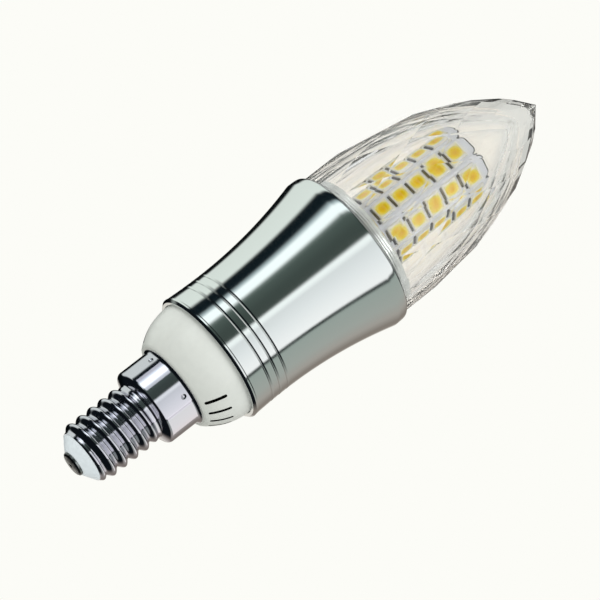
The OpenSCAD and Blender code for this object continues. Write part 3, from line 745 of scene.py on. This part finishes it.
def make_housing(material):
    """Round moulded housing cut by its groups of vent slots; its inner faces and slot walls marked for
    painted shade.
    """
    middle_r = HOUSING_R - BOWL_R
    soft, soft_turn = 0.25, 1.2
    skin_t = 0.05
    bore = NECK_R - HOUSING_WALL
    low_turn = math.degrees(math.asin(HOUSING_H / BOWL_R))
    floor_z = HOUSING_BOTTOM + HOUSING_WALL
    in_turn = math.degrees(math.asin((HOUSING_TOP - floor_z) / (BOWL_R - HOUSING_WALL)))
    outline = [(bore, NECK_BOTTOM), (NECK_R, NECK_BOTTOM), (NECK_R, HOUSING_BOTTOM)]
    outline += arc((LEDGE_R - soft, HOUSING_BOTTOM + soft), soft, 270, 320, 4)
    outline += arc((middle_r, HOUSING_TOP), BOWL_R, -low_turn + soft_turn, 0, 40)
    outline += [(HOUSING_R, SPIGOT_TOP), (HOUSING_R - HOUSING_WALL, SPIGOT_TOP)]
    outline += arc((middle_r, HOUSING_TOP), BOWL_R - HOUSING_WALL, 0, -in_turn, 20)
    outline += [(bore, floor_z)]
    piece = link_piece("housing", turned_mesh("housing", outline, 256, 30), None)
    for group in range(VENT_GROUPS):
        for i in range(VENTS):
            turn = VENT_MIDDLE + 360 * group / VENT_GROUPS + VENT_STEP * (i - (VENTS - 1) / 2)
            cut(piece, vent_cutter(turn))
    mark_smooth(piece.data, 30)
    shaded = []
    for face in piece.data.polygons:
        centre = face.center / MM
        below = max(0, HOUSING_TOP - centre.z)
        skin = middle_r + math.sqrt(max(0, BOWL_R ** 2 - below ** 2))
        within = math.hypot(centre.x, centre.y) < skin - skin_t and centre.z > floor_z - HOUSING_WALL / 3
        shaded.append(float(within))
    # The faces within the skin, the slot walls and the inner faces, get painted shade in the material
    piece.data.attributes.new("inside", "FLOAT", "FACE").data.foreach_set("value", shaded)
    piece.data.materials.clear()
    piece.data.materials.append(material)
    return piece


# Aluminium body

def body_face(z):
    """Radius of the aluminium body's outer face."""
    if z < WAIST_Z:
        return WAIST_R + (LIP_R - WAIST_R) * ((WAIST_Z - z) / (WAIST_Z - HOUSING_TOP)) ** 2
    return WAIST_R + (BODY_R - WAIST_R) * ((z - WAIST_Z) / (WIDEST_Z - WAIST_Z)) ** 2


def make_body(material):
    """The turned body, with its chamfered lip, fine grooves, rounded shoulder, trough and ribbed sleeve."""
    chamfer = 0.5
    line, line_depth = 0.26, 0.16
    gap = 0.1
    row = 0.5
    groove_reach, groove_row = 0.36, 0.55
    rim_edge, sleeve_edge = 0.06, 0.25
    seat = HOUSING_R + gap
    line_z = HOUSING_TOP + chamfer + row / 2
    outline = [(seat, HOUSING_TOP + gap), (seat + gap, HOUSING_TOP), (LIP_R - chamfer, HOUSING_TOP)]
    outline += [(LIP_R, HOUSING_TOP + chamfer), (LIP_R, line_z)]
    outline += [(LIP_R - line_depth, line_z + line / 3), (body_face(line_z + line), line_z + line)]
    grooves = [FIRST_GROOVE_Z + GROOVE_STEP * i for i in range(GROOVES)]
    z = line_z + row
    while z < WIDEST_Z:
        near = [g for g in grooves if abs(g - z) < groove_reach]
        if near:
            g = near[0]
            r = body_face(g)
            outline += [(r, g - GROOVE_W / 2), (r - GROOVE_DEPTH, g - GROOVE_FLOOR / 2)]
            outline += [(r - GROOVE_DEPTH, g + GROOVE_FLOOR / 2), (r, g + GROOVE_W / 2)]
            z = g + groove_row
        else:
            outline.append((body_face(z), z))
            z += row
    inside_r = RIM_R + 0.25
    for s in steps(20):
        turn = math.pi / 2 * s
        outline.append((inside_r + (BODY_R - inside_r) * abs(math.cos(turn)) ** SHOULDER_SHARE,
                        WIDEST_Z + (RIM_Z - WIDEST_Z) * math.sin(turn) ** SHOULDER_SHARE))
    outline += [(RIM_R + rim_edge, RIM_Z), (RIM_R, RIM_Z - rim_edge), (RIM_R, TROUGH_Z), (SLEEVE_R, TROUGH_Z)]
    for i in range(SLEEVE_RIBS):
        z = SLEEVE_TOP - sleeve_edge - RIB_STEP * (SLEEVE_RIBS - i)
        outline += [(SLEEVE_R - RIB_DEPTH * math.sin(math.pi * s) ** 2, z + RIB_STEP * s)
                    for s in steps(8)[:-1]]
    bore = SLEEVE_R - SLEEVE_WALL
    outline += [(SLEEVE_R, SLEEVE_TOP - sleeve_edge), (SLEEVE_R - sleeve_edge, SLEEVE_TOP)]
    outline += [(bore, SLEEVE_TOP), (bore, DECK_TOP), (WIRE_HOLE_R, DECK_TOP), (WIRE_HOLE_R, DECK_BOTTOM)]
    low, high = SPIGOT_TOP + gap, DECK_BOTTOM
    for s in steps(20):
        z = high + (low - high) * s
        outline.append((max(body_face(z), WAIST_R) - BODY_WALL, z))
    outline += [(seat, low)]
    return link_piece("body_shell", turned_mesh("body_shell", outline, 288, 20), material)


# Clear cover

def candle_r(h, r, top):
    """Radius of the candle's curve at a height over the rim."""
    return r * max(0, 1 - (max(0, h) / top) ** SHAPE_SHARE) ** TAPER_SHARE


def facet_rows():
    """Heights of the rows of corners, each placed so that the facets below it are flat."""
    rows = [TROUGH_Z - RIM_Z, FIRST_FACET_H]
    while rows[-1] <= LAST_ROW_SHARE * COVER_H:
        a, b = rows[-2:]
        low_r = candle_r(a, COVER_R, COVER_H)
        high_r = candle_r(b, COVER_R, COVER_H) * math.cos(math.pi / FACETS)
        low, high = b, COVER_H
        for _ in range(40):
            h = (low + high) / 2
            inside = low_r + (high_r - low_r) * (h - a) / (b - a) < candle_r(h, COVER_R, COVER_H)
            low, high = (h, high) if inside else (low, h)
        rows.append((low + high) / 2)
    return rows


def make_cover(material):
    """Thick faceted cover: flat cut faces outside, a smooth hollow inside, a round band in the trough."""
    rows = facet_rows()
    floor_gap, band_edge = 0.05, 0.08
    corners = []
    for k, row in enumerate(rows):
        r = candle_r(row, COVER_R, COVER_H) - FACET_INSET
        z = RIM_Z + row + (floor_gap if k == 0 else 0)
        for i in range(FACETS):
            turn = math.radians(FACET_TURN + 360 * (i + (k % 2) / 2) / FACETS)
            corners.append((r * math.cos(turn), r * math.sin(turn), z))
    tip = len(corners)
    corners.append((0, 0, RIM_Z + COVER_H - FACET_INSET))

    def at(k, i):
        return k * FACETS + i % FACETS

    faces = [list(range(FACETS))]
    for k in range(len(rows) - 1):
        side = k % 2
        for i in range(FACETS):
            faces.append([at(k, i), at(k + 1, i + side), at(k, i + 1)])
            faces.append([at(k, i), at(k + 1, i + side - 1), at(k + 1, i + side)])
    faces += [[at(len(rows) - 1, i), tip, at(len(rows) - 1, i + 1)] for i in range(FACETS)]
    mesh = closed_mesh("cover", corners, faces)
    work = bmesh.new()
    work.from_mesh(mesh)
    flat = [e for e in work.edges if e.calc_face_angle(0) < math.radians(1)]
    bmesh.ops.dissolve_edges(work, edges=flat, use_verts=False)
    work.to_mesh(mesh)
    work.free()
    piece = link_piece("cover", mesh, None)
    low = TROUGH_Z
    band_top = RIM_Z + BAND_H
    band = [(0, low), (COVER_R, low), (COVER_R, band_top - band_edge), (COVER_R - band_edge, band_top),
            (0, band_top)]
    cut(piece, link_piece("band", turned_mesh("band", band, 192, 30), None), "UNION")
    hollow = [(0, low - 1), (COVER_BORE_R, low - 1), (COVER_BORE_R, low + 1)]
    hollow += [(candle_r(HOLLOW_H * math.sin(math.pi / 2 * s), COVER_BORE_R, HOLLOW_H),
                RIM_Z + HOLLOW_H * math.sin(math.pi / 2 * s)) for s in steps(48)]
    cut(piece, link_piece("hollow", turned_mesh("hollow", hollow, 144, 30), None))
    for face in piece.data.polygons:
        centre, normal = face.center, face.normal
        radius = Vector((centre.x, centre.y)).length
        inwards = centre.x * normal.x + centre.y * normal.y < -1e-6 or radius < 0.5 * MM and normal.z < 0
        upright = abs(normal.z) < 0.02 and radius > (COVER_R - 0.03) * MM
        face.use_smooth = inwards or upright
    piece.data.materials.clear()
    piece.data.materials.append(material)
    return piece


# Light column

def lobed_strip(edge):
    """Outline of one strip of the board, across and along, drawn in by the edge at its lobed top."""
    half = BOARD_REACH * math.tan(math.pi / COLUMN_SIDES)
    gap_bottom = BOARD_TOP - LOBE_R * (1 - math.cos(math.radians(LOBE_STOP)))
    side = [(half, BOARD_BOTTOM), (half, gap_bottom - edge)]
    for s in steps(10):
        turn = math.radians(LOBE_STOP) * (1 - s)
        side.append((half - LOBE_R + (LOBE_R - edge) * math.sin(turn),
                     BOARD_TOP - LOBE_R + (LOBE_R - edge) * math.cos(turn)))
    return side + [(-y, z) for y, z in reversed(side)]


def make_board(material):
    """White board folded round the post, one lobed strip a side, with painted shade on its routed bevels and
    sides.
    """
    bevel, bevel_depth = 0.32, 0.16
    rings = [(1, lobed_strip(bevel)), (1 - bevel_depth / BOARD_REACH, lobed_strip(0)),
             (1 - BOARD_T / BOARD_REACH, lobed_strip(0))]
    count = len(rings[0][1])
    fold_edges = (0, count - 2)
    corners, faces, edge_shade = [], [], []
    for i in range(COLUMN_SIDES):
        turn = Matrix.Rotation(math.radians(COLUMN_TURN) + TAU * i / COLUMN_SIDES, 3, "Z")
        first = len(corners)
        for share, ring in rings:
            corners += [turn @ Vector((BOARD_REACH * share, y * share, z)) for y, z in ring]
        faces += [[first + k for k in range(count)], [first + 2 * count + k for k in reversed(range(count))]]
        edge_shade += [0.0, 0.0]
        for low in (first, first + count):
            around = [k for k in range(count) if k not in fold_edges]
            faces += [[low + k, low + (k + 1) % count, low + count + (k + 1) % count, low + count + k]
                      for k in around]
            edge_shade += [1.0] * len(around)
    mesh = closed_mesh("light_board", corners, faces, 10)
    # The bevels and sides get painted shade in the material, near black
    mesh.attributes.new("inside", "FLOAT", "FACE").data.foreach_set("value", edge_shade)
    return link_piece("light_board", mesh, material)


def chip_tree(material):
    """Sets one shape in rows round the axis: each point turns the shape to its side of the column."""
    tree, sizes = new_tree("chip_rows", {
        "Sides": "NodeSocketInt", "Rows": "NodeSocketInt", "First": "NodeSocketFloat",
        "Pitch": "NodeSocketFloat", "Turn": "NodeSocketFloat"})
    size = sizes.outputs
    index = add(tree, "GeometryNodeInputIndex").outputs[0]
    shifted = add(tree, "ShaderNodeMath", {"operation": "ADD"}, {0: index, 1: 0.5})
    rounds = add(tree, "ShaderNodeMath", {"operation": "DIVIDE"}, {0: shifted.outputs[0], 1: size["Sides"]})
    row = add(tree, "ShaderNodeMath", {"operation": "FLOOR"}, {0: rounds.outputs[0]})
    height = add(tree, "ShaderNodeMath", {"operation": "MULTIPLY_ADD"}, {
        0: row.outputs[0], 1: size["Pitch"], 2: size["First"]})
    place = add(tree, "ShaderNodeCombineXYZ", inputs={"Z": height.outputs[0]})
    count = add(tree, "ShaderNodeMath", {"operation": "MULTIPLY"}, {0: size["Sides"], 1: size["Rows"]})
    points = add(tree, "GeometryNodePoints", inputs={
        "Count": count.outputs[0], "Position": place.outputs[0]})
    step = add(tree, "ShaderNodeMath", {"operation": "DIVIDE"}, {0: TAU, 1: size["Sides"]})
    angle = add(tree, "ShaderNodeMath", {"operation": "MULTIPLY_ADD"}, {
        0: index, 1: step.outputs[0], 2: size["Turn"]})
    turn = add(tree, "ShaderNodeCombineXYZ", inputs={"Z": angle.outputs[0]})
    rotation = add(tree, "FunctionNodeEulerToRotation", inputs={0: turn.outputs[0]})
    chips = add(tree, "GeometryNodeInstanceOnPoints", inputs={
        "Points": points.outputs[0], "Instance": size["Geometry"], "Rotation": rotation.outputs[0]})
    real = add(tree, "GeometryNodeRealizeInstances", inputs={0: chips.outputs[0]})
    finished = add(tree, "GeometryNodeSetMaterial", inputs={0: real.outputs[0], "Material": material})
    add(tree, "NodeGroupOutput", inputs={0: finished.outputs[0]})
    return tree


def set_in_rows(name, mesh, material):
    """A piece of this shape on each chip's place; the shape is modelled on the column's side at +X."""
    return grown_piece(name, mesh, chip_tree(material), {
        "Sides": COLUMN_SIDES, "Rows": CHIPS_PER_ROW, "First": FIRST_CHIP_Z * MM,
        "Pitch": CHIP_PITCH * MM, "Turn": math.radians(COLUMN_TURN)}, material)


def ringed_box(name, rings):
    """A closed shape through square rings, each with its distance out, half its width and its two ends."""
    corners = [(out, y * half, z) for out, half, low, high in rings
               for y, z in ((-1, low), (1, low), (1, high), (-1, high))]
    faces = [[4 * k + i, 4 * k + (i + 1) % 4, 4 * k + 4 + (i + 1) % 4, 4 * k + 4 + i]
             for k in range(len(rings) - 1) for i in range(4)]
    last = 4 * len(rings) - 4
    faces += [[0, 1, 2, 3], [last, last + 1, last + 2, last + 3]]
    return closed_mesh(name, corners, faces, 35)


def make_chips(material):
    """Moulded packages with softened edges and a sloping well."""
    half_w, half_l, well = CHIP_W / 2, CHIP_LEN / 2, GLOW_W / 2
    soft = 0.12
    board_gap = 0.02
    top = BOARD_REACH + CHIP_T
    rings = [(out, w, -l, l) for out, w, l in (
        (BOARD_REACH + board_gap, half_w, half_l),
        (top - soft, half_w, half_l),
        (top, half_w - soft, half_l - soft),
        (top, well + soft / 2, well + soft / 2),
        (top - soft / 2, well, well),
        (top - GLOW_T, well - soft, well - soft))]
    return set_in_rows("chip_bodies", ringed_box("chip", rings), material)


def make_glows(material):
    """The yellow filling: a fine grid that dips a little, with how near its middle each corner is."""
    cells = 10
    wall_gap, well_gap, foot_share = 0.03, 0.02, 0.94
    half = GLOW_W / 2 - wall_gap
    top = BOARD_REACH + CHIP_T - 0.06
    dip, fade = 0.05, 1.25
    corners, faces, middle = [], [], []
    for i in range(cells + 1):
        for j in range(cells + 1):
            y, z = half * (2 * i / cells - 1), half * (2 * j / cells - 1)
            away = math.hypot(y, z) / half
            corners.append((top - dip * max(0, 1 - away * away), y, z))
            middle.append(max(0, 1 - away / fade))
    for i in range(cells):
        for j in range(cells):
            a = i * (cells + 1) + j
            faces.append([a, a + cells + 1, a + cells + 2, a + 1])
    rim = [i * (cells + 1) for i in range(cells)] + [cells * (cells + 1) + j for j in range(cells)]
    rim += [i * (cells + 1) + cells for i in range(cells, 0, -1)] + list(range(cells, 0, -1))
    base = len(corners)
    floor = BOARD_REACH + CHIP_T - GLOW_T + well_gap
    corners += [(floor, corners[k][1] * foot_share, corners[k][2] * foot_share) for k in rim]
    middle += [0.0] * len(rim)
    count = len(rim)
    faces += [[rim[k], rim[(k + 1) % count], base + (k + 1) % count, base + k] for k in range(count)]
    faces.append([base + k for k in range(count)])
    mesh = closed_mesh("glow", corners, faces, 35)
    mesh.attributes.new("middle", "FLOAT", "POINT").data.foreach_set("value", middle)
    return set_in_rows("chip_glows", mesh, material)


def make_terminals_and_shade(material):
    """Solder on each chip's cap side, partly painted shade: a flat foot, and a rounded top that meets the
    chip.
    """
    reach, bite, inset = 0.45, 0.02, 0.35
    board_gap, side_h, bar_h = 0.01, 0.3, 0.42
    low, high = -CHIP_LEN / 2 - reach, -CHIP_LEN / 2 + bite
    half = CHIP_W / 2 - inset
    soft = 0.1
    rings = [(BOARD_REACH + board_gap, half, low, high), (BOARD_REACH + side_h, half, low + soft, high),
             (BOARD_REACH + bar_h, half - soft, low + 2 * soft, high)]
    return set_in_rows("chip_terminals_and_shade", ringed_box("terminal", rings), material)


def finish_piece(piece, slot_name, *nodes):
    """Rides a piece on the bulb's one body, in place of its plain solids."""
    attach(piece, "root")
    if nodes:
        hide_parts(*nodes)


make_camera()
make_world()
make_stage()
add_light("key", (0.5, -0.9, 0.9), 0.8, 6)
add_light("fill", (-0.9, -0.6, 0.5), 0.8, 3)

# Bright nickel plate on rolled brass: a cold, slightly violet mirror that blurs a little
NICKEL = turned_metal("bright_nickel_plate", "#d2d1d9", 0.09, 0.12, 0.003, 5)
# Aluminium turned and polished: a neutral mirror with the finest rings of the tool left on it
ALUMINIUM = turned_metal("polished_turned_aluminium", "#e6e9e8", 0.1, 0.16, 0.004, 9)
# Dull nickel on the contact: a grey, scuffed metal that shows no clear reflections
CONTACT = grained("dull_nickel_contact", "#a9adac", 0.3, 1.0, grain_mm=0.9, depth_mm=0.06, shade=0.12)
# Moulded cap plastic: cool white with a soft sheen
CAP_PLASTIC = grained("moulded_cap_plastic", "#f3f9ff", 0.3, ior=1.5, grain_mm=1.2)
# Moulded housing plastic: a warm grey white, satin, so it shows only broad soft highlights. Its vents and
# inner faces are painted near black: painted shade, since hardly any light gets in there
HOUSING_PLASTIC_AND_SHADE = grained_with_painted_shade("housing_plastic_and_painted_shade", "#dcddd8", "#0c0e0d", 0.3, 1.5, 1.5)
# Clear acrylic, moulded thick: it bends what is behind it and is sharp at its cut faces
CLEAR = clear_plastic("clear_moulded_acrylic", "#ffffff", 1.38, 0.07)
# White solder mask on the aluminium board: cool white, half glossy, with painted shade on its routed edges
BOARD_MASK_AND_SHADE = grained_with_painted_shade("white_solder_mask_and_painted_shade", "#ebecf1", "#15181a", 0.4, 1.5, 0.8)
# Moulded chip plastic: creamy white
CHIP_PLASTIC = grained("moulded_chip_plastic", "#fbf8ec", 0.4, ior=1.5, grain_mm=0.3)
# Solder bars, nearly black with a dull shine: partly painted shade on the chips' shaded cap side
SOLDER_AND_SHADE = grained("solder_and_painted_shade", "#1d2224", 0.35, ior=1.5, grain_mm=0.2, shade=0.5)
# Phosphor in clear silicone: deep yellow in the middle of each chip, paler towards its rim
GLOW = phosphor("yellow_phosphor_silicone")

NODE_FINISHES = {
    # Extruded aluminium, left as drawn: a dull grey metal
    "core_post": grained("extruded_aluminium", "#b9babb", 0.35, 1.0),
    # Zinc plate: a paler, bluish metal with soft glints on the screw heads
    "post_screws": grained("zinc_plated_screw_steel", "#a9aaae", 0.3, 1.0),
    # Green epoxy laminate: half glossy, with the weave as a faint mottle
    "driver_board": grained("green_epoxy_laminate", "#2c6b45", 0.45, ior=1.5),
    # Dipped resistor paint: brown and slightly dusty
    "fusible_resistor": grained("brown_resistor_paint", "#7a4a2a", 0.5, ior=1.5),
    # Moulded epoxy packages: nearly black and matt, each a little different
    "bridge_rectifier": grained("black_package_epoxy", "#202122", 0.5, ior=1.5),
    "driver_chip": grained("black_chip_epoxy", "#1d1e20", 0.5, ior=1.5),
    "output_diode": grained("black_diode_epoxy", "#222324", 0.5, ior=1.5),
    # Shrunk sleeves: dark plastic skins with a clear shine
    "input_capacitor": grained("dark_shrunk_sleeve", "#20242f", 0.3, ior=1.5),
    "output_capacitor": grained("black_shrunk_sleeve", "#1b1c1e", 0.3, ior=1.5),
    # Sintered ferrite: dark grey, dry and grainy
    "choke_core": grained("sintered_ferrite", "#3a3a3b", 0.6, ior=1.8),
    # Enamelled copper wire: a warm metal under a glossy skin
    "choke_winding": grained("enamelled_copper_wire", "#b86f3c", 0.3, 1.0),
    # Glaze on the chip resistors: black and glassy
    "chip_resistors": grained("black_resistor_glaze", "#18191b", 0.35, ior=1.5),
    # Wire insulation: plain coloured plastic, half glossy
    "live_lead": grained("brown_wire_insulation", "#6b3d20", 0.45, ior=1.5),
    "neutral_lead": grained("blue_wire_insulation", "#2a4c8f", 0.45, ior=1.5),
    "positive_lead": grained("red_wire_insulation", "#a82a22", 0.45, ior=1.5),
    "negative_lead": grained("black_wire_insulation", "#1a1a1b", 0.45, ior=1.5),
    # The pieces shown wear the finishes above
    "centre_contact": CONTACT, "cap_insulator": CAP_PLASTIC, "screw_shell": NICKEL,
    "base_housing": HOUSING_PLASTIC_AND_SHADE, "heat_sink": ALUMINIUM, "clear_cover": CLEAR,
    "led_board": BOARD_MASK_AND_SHADE, "led_packages": CHIP_PLASTIC, "led_phosphors": GLOW,
}
for node_name, finish in NODE_FINISHES.items():
    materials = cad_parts[node_name].data.materials
    for index in range(len(materials)):
        materials[index] = finish

finish_piece(make_contact(CONTACT), "contact_metal", "centre_contact")
finish_piece(make_insulator(CAP_PLASTIC), "cap_insulator", "cap_insulator")
finish_piece(make_screw_shell(NICKEL), "nickel_plated_cap", "screw_shell")
add_cap_card("cap_card_left", -78, -34, "#f4f8ff", 0.78)
add_cap_card("cap_card_gap", 61, 69, "#ebe7ea", 1.05)
add_cap_card("cap_card_right", 69, 126, "#ece6e2", 0.8)
finish_piece(make_housing(HOUSING_PLASTIC_AND_SHADE), "white_housing", "base_housing")
finish_piece(make_body(ALUMINIUM), "polished_aluminium", "heat_sink")
finish_piece(make_cover(CLEAR), "clear_cover", "clear_cover")
finish_piece(make_board(BOARD_MASK_AND_SHADE), "white_board", "led_board")
finish_piece(make_chips(CHIP_PLASTIC), "chip_body", "led_packages")
finish_piece(make_glows(GLOW), "chip_phosphor", "led_phosphors")
finish_piece(make_terminals_and_shade(SOLDER_AND_SHADE), "component_black")
